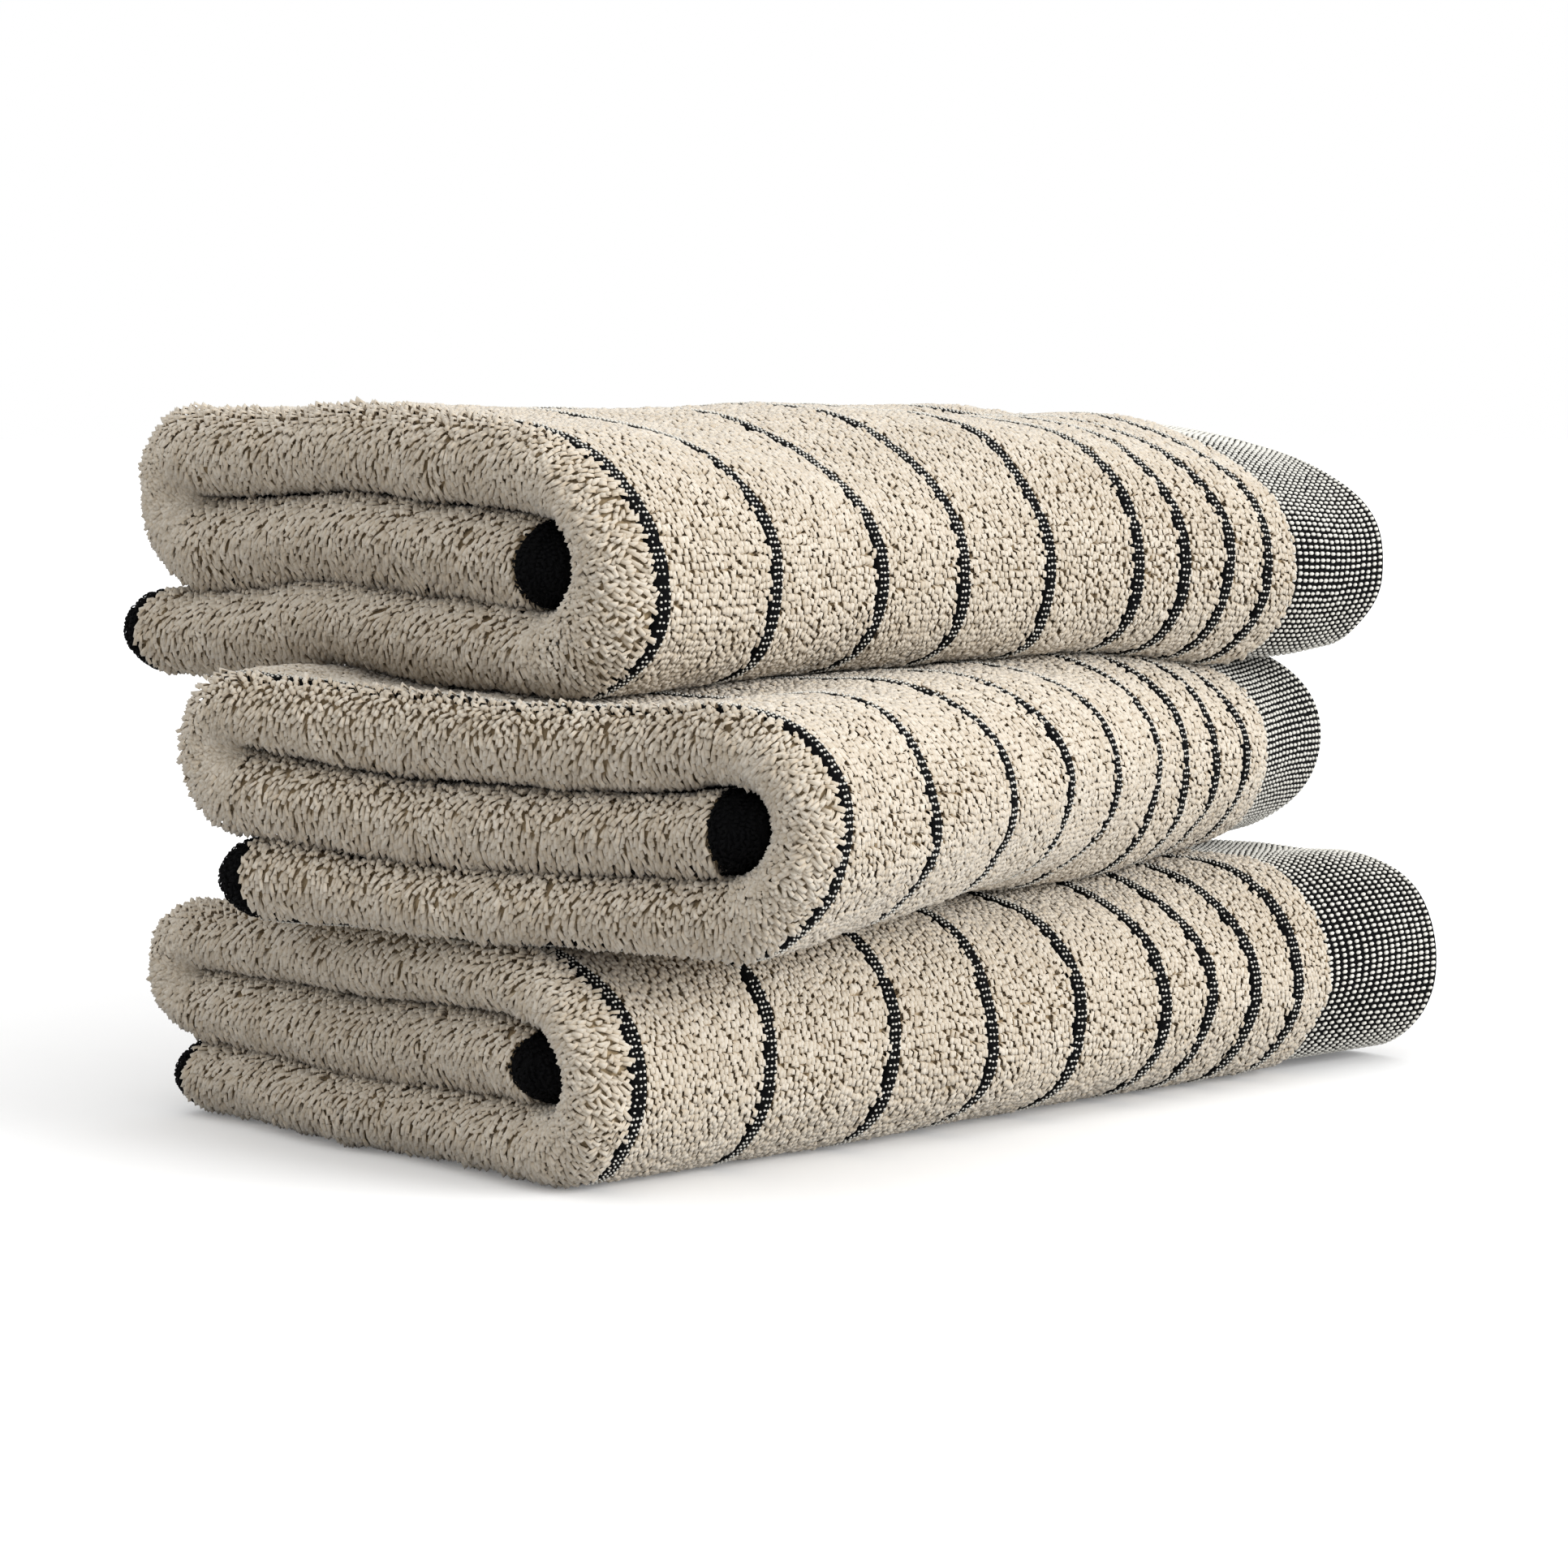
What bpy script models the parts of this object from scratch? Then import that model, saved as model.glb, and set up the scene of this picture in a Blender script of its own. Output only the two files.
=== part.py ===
"""A set of three folded bath towels, stacked one on another. Metres, +Z up.

Each towel is one terry cloth with a flat-woven border at both short ends and a bound tape along
both long edges. It is folded in three along its length, which makes a panel three cloth layers
thick, and then rolled in three across its width: bottom panel, wide front fold, top panel, tight
back fold, middle panel. The middle panel's bound edge lies inside the front fold.

+X runs along the folded towels to the end where the outside border shows, -X is the end with the
folded noses, -Y is the front fold. The origin is on the floor, under the middle of the stack's box.
"""

import math

import bmesh
import bpy
from mathutils import Vector

# The folded towel
FOLDED_LENGTH = 0.474
FOLDED_DEPTH = 0.272
BORDER_WIDTH = 0.072
BINDING_WIDTH = 0.020

# How far the flat-woven faces lie under the face of the pile
BORDER_RECESS = 0.0020
BINDING_RECESS = 0.0018
SEAM_SIZE = 0.0010

# Clearances
LAYER_GAP = 0.0004
PANEL_GAP = 0.0006
STACK_GAP = 0.0004
PIECE_GAP = 0.0003
TUCK_GAP = 0.0015
FOLD_SETBACK = 0.004
SEAM_INSET = 0.0025

# How a bound edge thins towards its end
OUTER_EDGE_TAPER = 0.55
INNER_EDGE_TAPER = 0.40

# Steps round the folds
NOSE_STEPS = 8
END_FOLD_STEPS = 4
FRONT_FOLD_STEPS = 12
BACK_FOLD_STEPS = 8
EDGE_STEPS = 4

# Name, one panel's thickness, place of the towel's middle, turn about Z, and how far the bottom
# panel's bound edge stands out past the back fold.
TOWELS = (
    ("bottom", 0.0286, (0.000, 0.000), 0.0, -0.011),
    ("middle", 0.0292, (-0.016, -0.006), 19.3, -0.014),
    ("top", 0.0326, (0.011, 0.030), 4.0, 0.003),
)

OATMEAL = ("oatmeal_terry", (0.56, 0.47, 0.36), 0.95)
DOBBY = ("black_and_cream_dobby", (0.22, 0.21, 0.19), 0.85)
TAPE = ("black_tape", (0.012, 0.012, 0.013), 0.90)
THREAD = ("black_thread", (0.020, 0.020, 0.022), 0.70)


def material(name, colour, roughness):
    found = bpy.data.materials.get(name)
    if found:
        return found
    made = bpy.data.materials.new(name)
    made.use_nodes = True
    shader = made.node_tree.nodes["Principled BSDF"]
    shader.inputs["Base Color"].default_value = (*colour, 1.0)
    shader.inputs["Roughness"].default_value = roughness
    shader.inputs["Metallic"].default_value = 0.0
    made.diffuse_color = (*colour, 1.0)
    return made


def arc(centre, radius, start, turn, steps):
    """Points round an arc in a plane, the angles in degrees."""
    angles = [math.radians(start + turn * i / steps) for i in range(steps + 1)]
    return [(centre[0] + radius * math.cos(a), centre[1] + radius * math.sin(a)) for a in angles]


class FoldedTowel:
    """The measures of one towel, in its own frame: middle of its bottom face, +X to the border end."""

    def __init__(self, panel, back_edge_offset):
        self.panel = panel
        self.height = 3 * panel + 2 * PANEL_GAP
        self.layer_pitch = (panel + LAYER_GAP) / 3
        self.half_layer = (self.layer_pitch - LAYER_GAP) / 2
        # along X
        self.border_end = FOLDED_LENGTH / 2
        self.border_start = self.border_end - BORDER_WIDTH
        self.nose_centre = -FOLDED_LENGTH / 2 + panel / 2
        self.end_fold_centre = self.border_end - FOLD_SETBACK - panel / 3
        # the tucked hem's corners stop short of the hollow of the nose
        hollow = self.layer_pitch - self.half_layer
        tuck_reach = math.sqrt(hollow**2 - (self.half_layer - BORDER_RECESS) ** 2)
        self.tucked_end = self.nose_centre - tuck_reach + TUCK_GAP
        self.tucked_start = self.tucked_end + BORDER_WIDTH
        # across the width
        self.bottom_z = panel / 2
        self.middle_z = self.bottom_z + panel + PANEL_GAP
        self.top_z = self.middle_z + panel + PANEL_GAP
        self.front_centre = -FOLDED_DEPTH / 2 + self.height / 2
        self.back_centre = FOLDED_DEPTH / 2 - panel - PANEL_GAP / 2
        self.outer_edge = FOLDED_DEPTH / 2 + back_edge_offset
        self.inner_edge = -FOLDED_DEPTH / 2 + panel + TUCK_GAP

    def length_line(self, offset, first, last):
        """The line of the letter fold in (x, n), at an offset outwards from the cloth's middle.

        It runs along the outer layer from first, round the nose, back along the inner layer and
        round the end fold to last, on the tucked layer. With last None it stops at the end fold.
        """
        pitch = self.layer_pitch
        line = [(first, pitch + offset)]
        line += arc((self.nose_centre, 0), pitch + offset, 90, 180, NOSE_STEPS)
        centre = (self.end_fold_centre, -pitch / 2)
        if last is None:
            return line + [(centre[0], -pitch - offset)]
        line += arc(centre, pitch / 2 + offset, -90, 180, END_FOLD_STEPS)
        return line + [(last, offset)]

    def bottom_run(self, y, scale=1.0):
        return (y, self.bottom_z), (0, -1), scale

    def middle_run(self, y, scale=1.0):
        return (y, self.middle_z), (0, -1), scale

    def width_line(self):
        """Stations (centre, outward normal, scale) of the roll in YZ, between the two bindings."""
        stations = [self.bottom_run(self.outer_edge - BINDING_WIDTH - PIECE_GAP)]
        folds = (
            (self.front_centre, self.middle_z, self.panel + PANEL_GAP, 270, -180, FRONT_FOLD_STEPS),
            (self.back_centre, (self.middle_z + self.top_z) / 2, (self.panel + PANEL_GAP) / 2, 90, -180,
             BACK_FOLD_STEPS),
        )
        for y, z, radius, start, turn, steps in folds:
            outward = arc((0, 0), 1, start, turn, steps)
            stations += [((y + radius * a, z + radius * b), (a, b), 1.0) for a, b in outward]
        stations.append(self.middle_run(self.inner_edge + BINDING_WIDTH + PIECE_GAP))
        return stations

    def outer_edge_line(self):
        stations = []
        for i in range(EDGE_STEPS + 1):
            way = i / EDGE_STEPS
            scale = 1 - (1 - OUTER_EDGE_TAPER) * way**2
            stations.append(self.bottom_run(self.outer_edge - BINDING_WIDTH * (1 - way), scale))
        return stations[::-1]

    def inner_edge_line(self):
        """The bound edge narrows as a half ellipse, to lie in the round of the front fold."""
        start = self.inner_edge + BINDING_WIDTH
        round_from = self.front_centre
        stations = [self.middle_run(start)]
        for i in range(EDGE_STEPS + 1):
            way = i / EDGE_STEPS
            scale = math.sqrt(1 - (1 - INNER_EDGE_TAPER**2) * way**2)
            stations.append(self.middle_run(round_from + (self.inner_edge - round_from) * way, scale))
        return stations

    def seam_line(self, y_from, run):
        return [run(y_from + SEAM_SIZE), run(y_from)]


def ribbon(name, look, outer, inner, stations, parent):
    """A solid strip between two lines in (x, n), carried along the stations in YZ."""
    shape = bmesh.new()
    rows = []
    for (y, z), (out_y, out_z), scale in stations:
        rows.append([
            [shape.verts.new((x, y + n * scale * out_y, z + n * scale * out_z)) for x, n in line]
            for line in (outer, inner)
        ])
    last = len(outer) - 1
    for (outer_a, inner_a), (outer_b, inner_b) in zip(rows, rows[1:]):
        for i in range(last):
            shape.faces.new((outer_a[i], outer_b[i], outer_b[i + 1], outer_a[i + 1]))
            shape.faces.new((inner_a[i], inner_a[i + 1], inner_b[i + 1], inner_b[i]))
        shape.faces.new((outer_a[0], inner_a[0], inner_b[0], outer_b[0]))
        shape.faces.new((outer_a[last], outer_b[last], inner_b[last], inner_a[last]))
    for (outer_row, inner_row), flip in ((rows[0], 1), (rows[-1], -1)):
        for i in range(last):
            corners = (outer_row[i], outer_row[i + 1], inner_row[i + 1], inner_row[i])
            shape.faces.new(corners[::flip])
    bmesh.ops.recalc_face_normals(shape, faces=shape.faces)
    mesh = bpy.data.meshes.new(name)
    shape.to_mesh(mesh)
    shape.free()
    mesh.materials.append(material(*look))
    mesh.shade_smooth()
    mesh.set_sharp_from_angle(angle=math.radians(50))
    piece = bpy.data.objects.new(name, mesh)
    piece.parent = parent
    bpy.context.scene.collection.objects.link(piece)
    return piece


def fold_towel(name, panel, back_edge_offset, parent):
    towel = FoldedTowel(panel, back_edge_offset)
    across = towel.width_line()

    def lines(half, first, last):
        return towel.length_line(half, first, last), towel.length_line(-half, first, last)

    cloth = lines(towel.half_layer, towel.border_start - PIECE_GAP, towel.tucked_start + PIECE_GAP)
    tape_half = towel.half_layer - BINDING_RECESS
    tape = lines(tape_half, towel.border_end, towel.tucked_end)
    half = towel.half_layer - BORDER_RECESS
    pitch = towel.layer_pitch
    shown = [[(x, pitch + n) for x in (towel.border_end, towel.border_start)] for n in (half, -half)]
    tucked = [[(x, n) for x in (towel.tucked_start, towel.tucked_end)] for n in (half, -half)]
    seam = [
        towel.length_line(tape_half + PIECE_GAP + rise, towel.border_end, None)
        for rise in (SEAM_SIZE, 0)
    ]
    outer_seam_at = towel.outer_edge - BINDING_WIDTH + SEAM_INSET
    inner_seam_at = towel.inner_edge + BINDING_WIDTH - SEAM_INSET
    return [
        ribbon(name + "_terry_cloth", OATMEAL, *cloth, across, parent),
        ribbon(name + "_end_border", DOBBY, *shown, across, parent),
        ribbon(name + "_tucked_border", DOBBY, *tucked, across, parent),
        ribbon(name + "_outer_binding", TAPE, *tape, towel.outer_edge_line(), parent),
        ribbon(name + "_inner_binding", TAPE, *tape, towel.inner_edge_line(), parent),
        ribbon(name + "_outer_seam", THREAD, *seam, towel.seam_line(outer_seam_at, towel.bottom_run), parent),
        ribbon(name + "_inner_seam", THREAD, *seam, towel.seam_line(inner_seam_at, towel.middle_run), parent),
    ]


def box_middle(pieces):
    """The middle of the box round all the pieces, in X and Y."""
    points = [piece.matrix_world @ vertex.co for piece in pieces for vertex in piece.data.vertices]
    return [(min(p[i] for p in points) + max(p[i] for p in points)) / 2 for i in (0, 1)]


def main():
    for old in list(bpy.data.objects):
        bpy.data.objects.remove(old)
    pieces = []
    holders = []
    floor = 0.0
    for name, panel, (x, y), turn, back_edge_offset in TOWELS:
        holder = bpy.data.objects.new(name + "_towel", None)
        holder.location = (x, y, floor)
        holder.rotation_euler.z = math.radians(turn)
        bpy.context.scene.collection.objects.link(holder)
        holders.append(holder)
        pieces += fold_towel(name, panel, back_edge_offset, holder)
        floor += 3 * panel + 2 * PANEL_GAP + STACK_GAP
    bpy.context.view_layer.update()
    middle = Vector((*box_middle(pieces), 0))
    for holder in holders:
        holder.location -= middle


main()
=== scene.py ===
"""The looks of the bath towel set: three folded terry towels, stacked. Metres, +Z up.

Every towel is one cloth. FoldedTowel says where any point of the flat cloth lies once the towel is
folded in three along its length and rolled in three across its width, and all the pieces, from the
ground cloth to the single loops of the pile, are laid out flat and carried through it.

Along the cloth: 0 is the hem of the outside border, at the +X end, and the far end is the tucked hem.
Across the cloth: 0 is the outer bound edge, at the back under the towel, and the far end is the inner
bound edge, inside the front fold. Lift is how far a point stands out from the middle of the cloth.
"""

import math

import bpy
import numpy as np
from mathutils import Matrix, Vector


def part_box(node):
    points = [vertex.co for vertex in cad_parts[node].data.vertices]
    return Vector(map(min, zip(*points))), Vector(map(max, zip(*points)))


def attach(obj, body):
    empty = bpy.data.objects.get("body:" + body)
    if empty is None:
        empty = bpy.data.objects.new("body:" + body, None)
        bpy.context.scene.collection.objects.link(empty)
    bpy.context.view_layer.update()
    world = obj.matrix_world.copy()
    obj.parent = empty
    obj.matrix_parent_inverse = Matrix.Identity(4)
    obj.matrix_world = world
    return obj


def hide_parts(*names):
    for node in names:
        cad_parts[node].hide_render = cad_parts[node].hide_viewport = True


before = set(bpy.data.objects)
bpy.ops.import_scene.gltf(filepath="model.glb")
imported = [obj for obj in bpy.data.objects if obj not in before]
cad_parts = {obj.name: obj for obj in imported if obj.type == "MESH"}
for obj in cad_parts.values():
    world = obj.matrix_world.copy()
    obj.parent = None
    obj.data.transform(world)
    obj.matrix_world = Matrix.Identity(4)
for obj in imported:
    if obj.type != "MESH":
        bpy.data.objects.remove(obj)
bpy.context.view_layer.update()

# The folded towel
FOLDED_LENGTH = 0.474
FOLDED_DEPTH = 0.272
BORDER_WIDTH = 0.072
OUTER_TAPE = 0.0115
INNER_TAPE = 0.020
THINNED_EDGE = 0.020
LAYER_GAP = 0.0004
PANEL_GAP = 0.0006
STACK_GAP = 0.0004
FOLD_SETBACK = 0.004
TUCK_GAP = 0.0015

# How soft the folds are. The rounds are the powers of the front fold's two superellipse quarters.
BACK_REACH = 0.007
UPPER_ROUND = 2 / 2.18
LOWER_ROUND = 2 / 1.88
NOSE_PINCH = 0.16
CREST_SWELL = 0.0024

# What is woven into the cloth, and sewn to it
WEAVE_GAP = 0.0002
PILE = 0.0028
STRIPE_WIDTH = 0.0057
FIRST_STRIPE = 0.0216
STRIPE_PITCHES = (0.0277, 0.0277, 0.0277, 0.0510, 0.0510, 0.0510, 0.0615, 0.0615)
STRIPE_TOP = 0.0023
STRIPE_LANES = (-0.34, 0.0, 0.34)
DOT_PITCH = 0.0024
DOT_SIZE = (0.0011, 0.0010)
FLOAT_PITCH = (0.0042, 0.0028)
FLOAT_SIZE = (0.0031, 0.0019)
BORDER_HALF = 0.0013
TAPE_RECESS = 0.0014
SEAM_INSET = 0.0025
SEAM_RADIUS = 0.0005

# How far the pattern goes on under the back fold, and the grids of the loops, along and across
PATTERN_REACH = 0.03
LOOP_PITCH = (0.0021, 0.0026)
HANGING_PITCH = (0.0025, 0.0019)
PRESSED_PITCH = (0.0029, 0.0038)
NAP_PITCH = (0.0016, 0.0024)

# Where one stretch of loops hands over to the next, and how deep the loops go between layers
FOLD_MARGIN = 0.004
FOLD_OVERLAP = 0.012
FRONT_REACH = 0.125
SEEN_IN_CREVICE = 0.024
STANDS_OUT = 0.045


class TowelStyle:
    """What tells one towel of the stack from the next.

    front holds the height of the foremost line of the front fold, the reach of the long shoulder
    above it and the reach of the short curve below it. lean is how the stripes slant, in x per z.
    soft_end is how far the top of the border end drops, and overhang how far its underside hangs.
    """

    def __init__(self, name, panel, place, turn, back_edge_offset, front, lean, stripe_shift,
                 soft_end, overhang, seed):
        self.name = name
        self.panel = panel
        self.place = place
        self.turn = math.radians(turn)
        self.back_edge_offset = back_edge_offset
        self.front = front
        self.lean = lean
        self.stripe_shift = stripe_shift
        self.soft_end = soft_end
        self.overhang = overhang
        self.seed = seed


STYLES = (
    TowelStyle("bottom", 0.0286, (0.000, 0.000), 0.0, -0.008, (0.034, 0.076, 0.036), 0.166, 0.0,
               0.000, 0.000, 11),
    TowelStyle("middle", 0.0292, (-0.016, -0.006), 19.3, -0.014, (0.046, 0.060, 0.050), -0.134, -0.0037,
               0.000, 0.002, 22),
    TowelStyle("top", 0.0326, (0.011, 0.030), 4.0, 0.009, (0.032, 0.125, 0.034), 0.082, 0.001,
               0.005, 0.009, 33),
)

# Where the bottom towel's own frame lies, read off the frame
BORDER_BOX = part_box("bottom_end_border")
CLOTH_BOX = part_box("bottom_terry_cloth")
STACK_PLACE = np.array((
    BORDER_BOX[1].x - FOLDED_LENGTH / 2,
    (CLOTH_BOX[0].y + CLOTH_BOX[1].y) / 2,
))


def smooth_step(value, low, high):
    way = np.clip((value - low) / (high - low), 0, 1)
    return way * way * (3 - 2 * way)


class Waves:
    """A smooth random field: a sum of a few sine waves in space."""

    def __init__(self, seed, count, shortest, longest, size):
        draw = np.random.default_rng(seed)
        heading = draw.normal(size=(count, 3))
        heading /= np.linalg.norm(heading, axis=1)[:, None]
        self.heading = heading * (2 * np.pi / draw.uniform(shortest, longest, count))[:, None]
        self.phase = draw.uniform(0, 2 * np.pi, count)
        self.push = draw.normal(size=(count, 3)) * size / math.sqrt(count / 2)

    def at(self, points):
        return np.sin(points @ self.heading.T + self.phase) @ self.push


# Where the stack has settled: a place in the bottom towel's frame, its reach and the drop there
DENTS = (
    ((-0.215, -0.110, 0.176), 0.070, 0.0060),
    ((-0.235, 0.150, 0.185), 0.075, 0.0075),
    ((-0.260, 0.040, 0.176), 0.060, -0.0050),
    ((-0.235, -0.020, 0.088), 0.070, 0.0020),
)


def settled(points):
    """How far the dents lower the points."""
    drop = np.zeros(points.shape[:-1])
    for (x, y, z), reach, depth in DENTS:
        away = points - (STACK_PLACE[0] + x, STACK_PLACE[1] + y, z)
        drop += depth * np.exp(-(away**2).sum(-1) / reach**2)
    return drop


HANDLING = Waves(5, 10, 0.09, 0.20, 0.0016)
CRUMPLES = Waves(6, 14, 0.035, 0.07, 0.0005)


class FoldedTowel:
    """One towel as it lies folded: it carries places on the flat cloth to places in the stack."""

    def __init__(self, style, floor):
        self.style = style
        self.floor = floor
        self.panel = style.panel
        self.height = 3 * style.panel + 2 * PANEL_GAP
        self.layer_pitch = (style.panel + LAYER_GAP) / 3
        self.half_layer = (self.layer_pitch - LAYER_GAP) / 2
        self.ground_half = self.half_layer - PILE
        self.front_y = -FOLDED_DEPTH / 2
        self.back_centre = FOLDED_DEPTH / 2 + BACK_REACH - style.panel - PANEL_GAP / 2
        self.lay_length_line()
        self.lay_width_line()

    # The letter fold along the length, in (x, n), n outwards from the middle of the panel

    def lay_length_line(self):
        pitch = self.layer_pitch
        nose = -FOLDED_LENGTH / 2 + self.panel / 2
        end_fold = FOLDED_LENGTH / 2 - FOLD_SETBACK - self.panel / 3
        tucked_end = nose - math.sqrt((pitch - self.half_layer)**2 - BORDER_HALF**2) + TUCK_GAP
        outer = FOLDED_LENGTH / 2 - nose
        inner = end_fold - nose
        tucked = end_fold - tucked_end
        turns = ((outer, 0), (math.pi * pitch, 1), (inner, 0), (math.pi * pitch / 2, 1), (tucked, 0))
        self.nose, self.end_fold = nose, end_fold
        self.nose_from = outer
        self.nose_to = outer + turns[1][0]
        self.end_fold_from = self.nose_to + inner
        self.end_fold_to = self.end_fold_from + turns[3][0]
        self.cloth_length = self.end_fold_to + tucked
        self.tucked_border_from = self.cloth_length - BORDER_WIDTH
        along, heading = [0.0], [math.pi]
        for length, turn in turns:
            steps = 32 if turn else 4
            for i in range(steps):
                along.append(along[-1] + length / steps)
                heading.append(heading[-1] + turn * math.pi / steps)
        along, heading = np.array(along), np.array(heading)
        step = np.diff(along)
        middle = (heading[1:] + heading[:-1]) / 2
        x = FOLDED_LENGTH / 2 + np.concatenate(([0], np.cumsum(step * np.cos(middle))))
        n = pitch + np.concatenate(([0], np.cumsum(step * np.sin(middle))))
        self.length_line = along, x, n, heading

    # The roll across the width, in YZ: the outer face of the panel and its inner face

    def lay_width_line(self):
        low_reach, high_reach = self.style.front[2], self.style.front[1]
        tip, top = self.style.front[0], self.height
        angle = np.linspace(0, np.pi / 2, 90)
        curve = (1 - np.cos(angle) ** UPPER_ROUND, np.sin(angle) ** UPPER_ROUND)
        upper = np.stack((self.front_y + high_reach * curve[0], tip + (top - tip) * curve[1]), 1)
        curve = (1 - np.cos(angle) ** LOWER_ROUND, np.sin(angle) ** LOWER_ROUND)
        lower = np.stack((self.front_y + low_reach * curve[0], tip - tip * curve[1]), 1)
        self.round_from = self.front_y + 1.5 * self.panel

        def column(y):
            """The faces between the three panels at y, from the lowest up."""
            bottom = np.interp(y, lower[:, 0], lower[:, 1])
            height = np.interp(y, upper[:, 0], upper[:, 1]) - bottom
            return [bottom + height * way for way in (0, 1 / 3, 2 / 3, 1)]

        def row(y, low, high, low_gap=0.0, high_gap=0.0):
            levels = column(y)
            return np.stack((y, levels[low] + low_gap), 1), np.stack((y, levels[high] - high_gap), 1)

        outer, inner, slim = [], [], []

        def add(faces, thin=1.0):
            outer.append(faces[0])
            inner.append(faces[1])
            slim.append(thin * np.ones(len(faces[0])))

        half_gap = PANEL_GAP / 2
        outer_edge = FOLDED_DEPTH / 2 + self.style.back_edge_offset
        way = np.linspace(1, 0, 14)
        y = outer_edge - THINNED_EDGE * (1 - way)
        thin = np.sqrt(1 - 0.75 * way**4)
        half = (self.panel - half_gap) / 2 * thin
        centre = (self.panel - half_gap) / 2
        add((np.stack((y, centre - half), 1), np.stack((y, centre + half), 1)), thin)
        add(row(np.arange(y[-1] - 0.002, self.round_from, -0.002), 0, 1, 0, half_gap))
        front = np.concatenate((
            lower[::-1][lower[::-1][:, 0] < self.round_from],
            upper[upper[:, 0] < self.round_from][1:],
        ))
        levels = column(np.array([self.round_from]))
        step = np.linalg.norm(np.diff(front, axis=0), axis=1)
        turn = np.concatenate(([0], np.cumsum(step))) / step.sum() * np.pi - np.pi / 2
        mid_z = (levels[1][0] + levels[2][0]) / 2
        reach = 0.5 * self.panel
        rise = (levels[2][0] - levels[1][0]) / 2 + half_gap
        hollow = np.stack((self.round_from - reach * np.cos(turn), mid_z + rise * np.sin(turn)), 1)
        add((front, hollow))
        faces = row(np.arange(self.round_from, self.back_centre, 0.002), 2, 3, half_gap, 0)
        add(faces[::-1])
        turn = np.linspace(np.pi / 2, -np.pi / 2, 40)
        spot = np.array((self.back_centre, self.height - self.panel - half_gap))
        ring = np.stack((np.cos(turn), np.sin(turn)), 1)
        add((spot + ring * (self.panel + half_gap), spot + ring * half_gap))
        add(row(np.arange(self.back_centre - 0.002, self.round_from, -0.002), 1, 2, half_gap, half_gap))
        way = np.linspace(0, 1, 20)
        thin = np.sqrt(1 - 0.86 * way**2.5) * (1 - 0.18 * smooth_step(way, 0.0, 0.4))
        half = (rise - 2 * half_gap) * thin
        y = self.round_from - (reach - 2 * half_gap) * way
        add((np.stack((y, mid_z - half), 1), np.stack((y, mid_z + half), 1)), thin)

        outer, inner, slim = np.concatenate(outer), np.concatenate(inner), np.concatenate(slim)
        # the bound edges are measured down their middle, the rest round the outside
        measured = np.where(slim[:, None] < 1, (outer + inner) / 2, outer)
        bound = (slim[1:] < 1) != (slim[:-1] < 1)
        step = np.linalg.norm(np.diff(measured, axis=0), axis=1)
        step[bound] = np.linalg.norm(np.diff(outer, axis=0), axis=1)[bound]
        across = np.concatenate(([0], np.cumsum(step)))
        self.width_line = across, outer, inner, slim
        self.cloth_width = across[-1]
        # where the roll passes from one stretch to the next
        order = outer[:, 0]
        tip_at = int(np.argmin(order))
        self.front_tip = across[tip_at]
        self.front_from = across[:tip_at][order[:tip_at] > self.front_y + low_reach].max()
        top_at = tip_at + int(np.argmax(outer[tip_at:, 1] > self.height - 1e-4))
        self.front_to = min(across[top_at], self.front_tip + FRONT_REACH)
        back = np.flatnonzero(order >= self.back_centre - 1e-6)
        back = back[back > tip_at]
        self.back_from, self.back_to = across[back[0]], across[back[-1]]

    def place(self, along, across, lift):
        """Where points of the flat cloth lie, in the world."""
        along, across, lift = np.broadcast_arrays(along, across, lift)
        stations, x_line, n_line, heading = self.length_line
        x = np.interp(along, stations, x_line)
        n = np.interp(along, stations, n_line)
        turn = np.interp(along, stations, heading)
        x = x + lift * np.sin(turn)
        n = n - lift * np.cos(turn)
        depth = 0.5 - n / self.panel * (1 - NOSE_PINCH * smooth_step(x, self.nose + 0.004, self.nose - 0.013))
        stations, outer, inner, slim = self.width_line
        thin = np.interp(across, stations, slim)
        x = np.minimum(x, self.end_fold) + (thin * (x - self.end_fold)).clip(0)
        x = np.maximum(x, self.nose) + (thin * (x - self.nose)).clip(None, 0)
        y, z = (
            np.interp(across, stations, outer[:, i]) * (1 - depth)
            + np.interp(across, stations, inner[:, i]) * depth
            for i in (0, 1)
        )
        return self.settle(x, y, z)

    def settle(self, x, y, z):
        """The slant of the stripes, the soft end of the border, and the towel's place in the stack."""
        to_front = 1 - smooth_step(y, self.front_y + 0.06, self.front_y + 0.20)
        to_border = smooth_step(x, -FOLDED_LENGTH / 2, -FOLDED_LENGTH / 2 + 0.09)
        x = x + self.style.lean * (z - self.height / 2) * to_front * (0.25 + 0.75 * to_border)
        soft_end = smooth_step(x, FOLDED_LENGTH / 2 - 0.10, FOLDED_LENGTH / 2 + 0.01)
        z = z - self.style.soft_end * soft_end * smooth_step(z, self.height / 2, self.height)
        hanging = smooth_step(x, 0.0, 0.22) * (1 - smooth_step(y, self.front_y + 0.03, self.front_y + 0.09))
        z = z - self.style.overhang * hanging * (1 - z / self.height)
        turn = self.style.turn
        cos, sin = math.cos(turn), math.sin(turn)
        place = STACK_PLACE + self.style.place
        points = np.stack((place[0] + x * cos - y * sin, place[1] + x * sin + y * cos, self.floor + z), -1)
        moved = HANDLING.at(points) + CRUMPLES.at(points)
        moved[..., 2] = moved[..., 2] * 0.7 - settled(points)
        moved[..., 2] *= smooth_step(points[..., 2], 0.0, 0.04)
        return points + moved

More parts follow.
